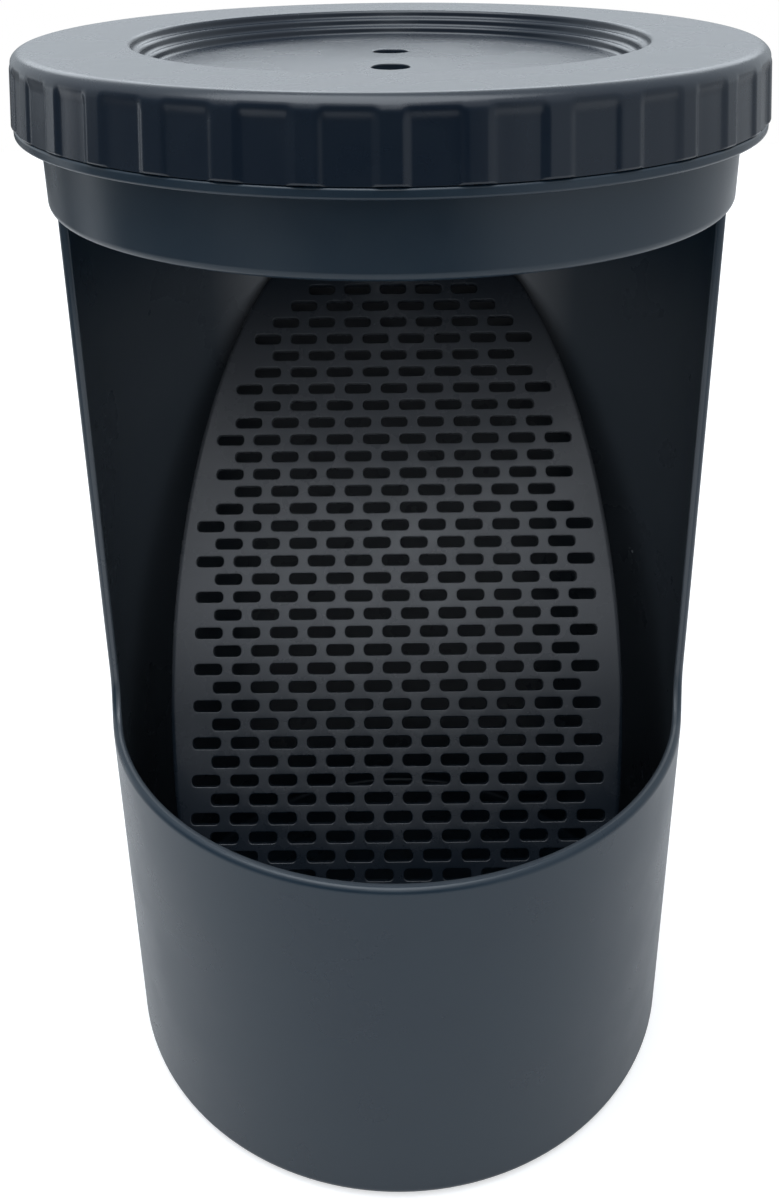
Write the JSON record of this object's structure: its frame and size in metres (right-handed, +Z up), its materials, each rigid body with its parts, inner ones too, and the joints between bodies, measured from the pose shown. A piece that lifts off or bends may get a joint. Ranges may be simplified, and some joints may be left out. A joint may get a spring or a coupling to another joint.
{
  "type": "insect feeder cup",
  "caption": "Tall round insect feeder cup with an open front window, a ribbed screw lid with hanging holes, and a slotted panel that insects climb.",
  "frame": {"origin": "middle of the cup's underside", "axes": "+Z up along the cup's axis, -Y out of the feeding window, +X to the right seen from the window's side"},
  "size_m": [0.1074, 0.1074, 0.1775],
  "materials": {
    "cup_plastic": "satin moulded, dark slate grey",
    "lid_plastic": "fine matte grain, near black",
    "panel_plastic": "satin moulded, near black"
  },
  "bodies": {
    "cup": {"cup": "cup_plastic"},
    "lid": {"lid": "lid_plastic"},
    "climbing_panel": {"climbing_panel": "panel_plastic"}
  },
  "joints": [
    {"name": "lid_lift", "type": "slide", "parent": "cup", "child": "lid", "axis": [0, 0, 1], "range_m": [0, 0.2]},
    {"name": "panel_lift", "type": "slide", "parent": "cup", "child": "climbing_panel", "axis": [0, 0, 1], "range_m": [0, 0.18]}
  ],
  "couplings": [
    {"joint": "panel_lift", "follows": "lid_lift", "ratio": 0.9}
  ]
}
